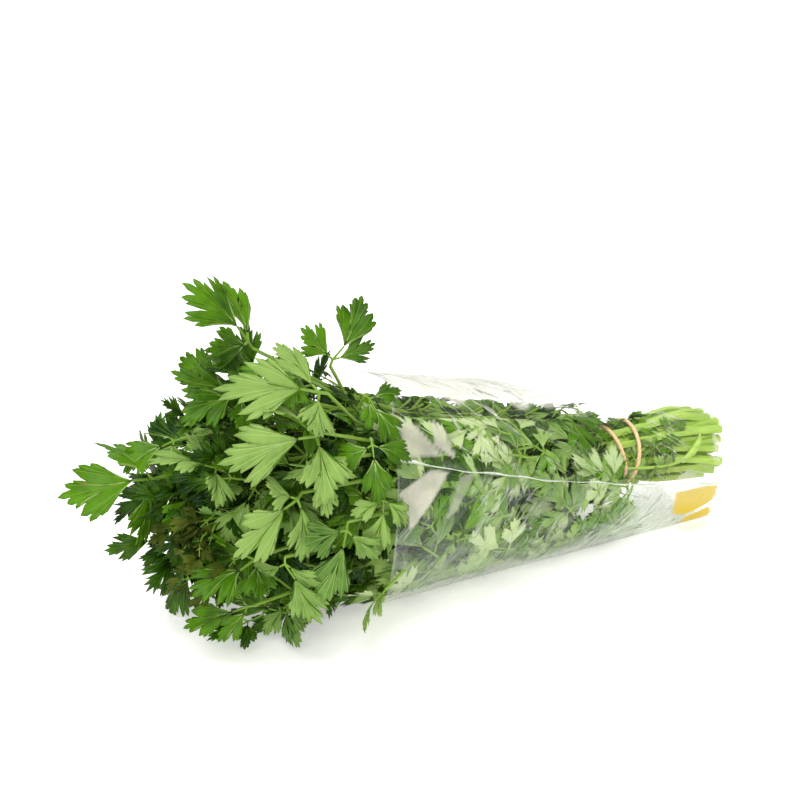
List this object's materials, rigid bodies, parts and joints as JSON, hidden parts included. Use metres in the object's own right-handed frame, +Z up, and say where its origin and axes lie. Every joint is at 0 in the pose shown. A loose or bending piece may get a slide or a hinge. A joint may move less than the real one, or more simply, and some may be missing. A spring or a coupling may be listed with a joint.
{
  "type": "parsley bunch",
  "caption": "A cut bunch of flat-leaf parsley lying on its side in a clear flared film sleeve, its stems tied with a rubber band",
  "frame": {"origin": "the middle of the flat strip of the sleeve that the bunch lies on, half way along the sleeve", "axes": "+X along the bunch to the cut stem ends, -Y the side where most leaves show, +Z up"},
  "size_m": [0.4106, 0.1597, 0.1959],
  "materials": {
    "film": "clear thin plastic film with creases",
    "rubber": "matt tan",
    "stem": "fresh plant stalk, satin, pale green",
    "leaf": "fresh leaf, satin above and matt pale green below"
  },
  "bodies": {
    "root": {"sleeve": "film", "rubber_band": "rubber", "stem_01": "stem", "stem_02": "stem", "stem_03": "stem", "stem_04": "stem", "stem_05": "stem", "stem_06": "stem", "stem_07": "stem", "stem_08": "stem", "stem_09": "stem", "stem_10": "stem", "stem_11": "stem", "stem_12": "stem", "stem_13": "stem", "stem_14": "stem", "stem_15": "stem", "stem_16": "stem", "stem_17": "stem", "stem_18": "stem", "stem_19": "stem", "stem_20": "stem", "stem_21": "stem", "stem_22": "stem", "stem_23": "stem", "stem_24": "stem", "stem_25": "stem", "stem_26": "stem", "stem_27": "stem", "stem_28": "stem", "leaf_01": "leaf", "leaf_02": "leaf", "leaf_03": "leaf", "leaf_04": "leaf", "leaf_05": "leaf", "leaf_06": "leaf", "leaf_07": "leaf", "leaf_08": "leaf", "leaf_09": "leaf", "leaf_10": "leaf", "leaf_11": "leaf", "leaf_12": "leaf", "leaf_13": "leaf", "leaf_14": "leaf", "leaf_15": "leaf", "leaf_16": "leaf", "leaf_17": "leaf", "leaf_18": "leaf", "leaf_19": "leaf", "leaf_20": "leaf", "leaf_21": "leaf", "leaf_22": "leaf", "leaf_23": "leaf", "leaf_24": "leaf", "leaf_25": "leaf", "leaf_26": "leaf", "leaf_27": "leaf", "leaf_28": "leaf"}
  },
  "joints": []
}
